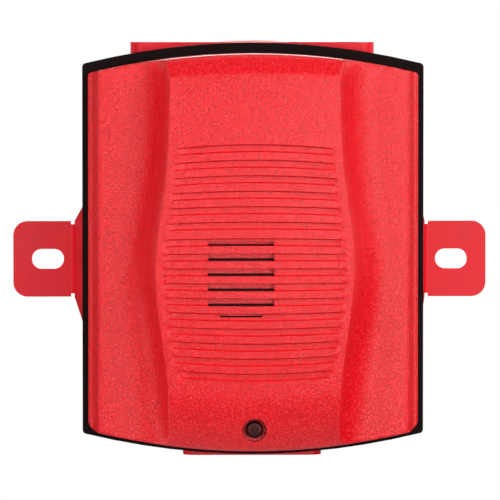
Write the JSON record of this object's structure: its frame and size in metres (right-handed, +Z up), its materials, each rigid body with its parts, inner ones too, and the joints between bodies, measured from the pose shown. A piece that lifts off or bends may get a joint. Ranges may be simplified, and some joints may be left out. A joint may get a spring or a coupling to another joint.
{
  "type": "wall fire alarm horn",
  "caption": "Red fire-alarm horn with a barrel-shaped grooved front and sound slots, hinged on a gasketed metal back box with slotted wall tabs and conduit entries.",
  "frame": {"origin": "on the wall, at the middle of the back box's rear face, level with the middle of the horn's housing", "axes": "+Y into the wall and the horn faces -Y, +X to the right as seen from the front, +Z up"},
  "size_m": [0.1746, 0.0886, 0.1496],
  "materials": {
    "red_plastic": "fine moulded grain, satin",
    "red_paint": "satin paint",
    "black_rubber": "matt",
    "black_plastic": "satin",
    "grey_plastic": "satin",
    "zinc_steel": "zinc plated",
    "dark_steel": "blackened",
    "brass": "plain",
    "copper": "enamelled wire",
    "green_paint": "gloss",
    "board_green": "solder mask",
    "white_ceramic": "unglazed with a silvered face",
    "ferrite": "matt",
    "blue_sleeve": "shrink sleeve",
    "black_membrane": "fine woven"
  },
  "bodies": {
    "wall_box": {"back_box": "red_paint", "bracket_left": "red_paint", "bracket_right": "red_paint", "conduit_plug": "red_paint", "ground_screw": "green_paint", "box_gasket": "black_rubber", "mounting_plate": "black_plastic", "screw_insert": "brass", "terminal_block": "black_plastic", "shorting_spring": "brass", "bracket_rivet_1": "red_paint", "plate_screw_1": "zinc_steel", "terminal_clamp_1": "brass", "terminal_screw_1": "zinc_steel", "bracket_rivet_2": "red_paint", "plate_screw_2": "zinc_steel", "terminal_clamp_2": "brass", "terminal_screw_2": "zinc_steel", "bracket_rivet_3": "red_paint", "plate_screw_3": "zinc_steel", "terminal_clamp_3": "brass", "terminal_screw_3": "zinc_steel", "bracket_rivet_4": "red_paint", "plate_screw_4": "zinc_steel", "terminal_clamp_4": "brass", "terminal_screw_4": "zinc_steel"},
    "horn": {"front_housing": "red_plastic", "rear_cover": "black_plastic", "cover_seal": "black_rubber", "circuit_board": "board_green", "inductor_core": "ferrite", "inductor_winding": "copper", "capacitor_large": "blue_sleeve", "capacitor_small": "blue_sleeve", "control_chip": "ferrite", "rectifier": "ferrite", "selector_base": "grey_plastic", "sounder_chamber": "black_plastic", "piezo_disc": "brass", "piezo_ceramic": "white_ceramic", "disc_clamp_ring": "black_plastic", "chamber_seal": "black_rubber", "weather_membrane": "black_membrane", "piezo_lead_1": "black_rubber", "piezo_lead_2": "copper", "slot_baffle": "red_plastic", "cover_screw_1": "zinc_steel", "contact_pin_1": "brass", "cover_screw_2": "zinc_steel", "contact_pin_2": "brass", "cover_screw_3": "zinc_steel", "contact_pin_3": "brass", "cover_screw_4": "zinc_steel", "contact_pin_4": "brass"},
    "tone_dial": {"tone_selector": "grey_plastic"},
    "screw_carrier": {"captive_washer": "black_plastic"},
    "captive_fastener": {"captive_screw": "dark_steel"}
  },
  "joints": [
    {"name": "cover_swing", "type": "hinge", "parent": "wall_box", "child": "horn", "pos_m": [0, -0.0556, 0.0713], "axis": [-1, 0, 0], "range_deg": [0, 25]},
    {"name": "screw_travel", "type": "slide", "parent": "horn", "child": "screw_carrier", "axis": [0, -1, 0], "range_m": [0, 0.005]},
    {"name": "screw_turn", "type": "hinge", "parent": "screw_carrier", "child": "captive_fastener", "pos_m": [0, -0.0775, -0.0629], "axis": [0, -1, 0], "range_deg": [0, 2250]},
    {"name": "tone_select", "type": "hinge", "parent": "horn", "child": "tone_dial", "pos_m": [0.017, -0.0668, 0.026], "axis": [0, 1, 0], "range_deg": [0, 315]}
  ],
  "couplings": [
    {"joint": "screw_turn", "follows": "screw_travel", "rad_per_m": 7854}
  ]
}
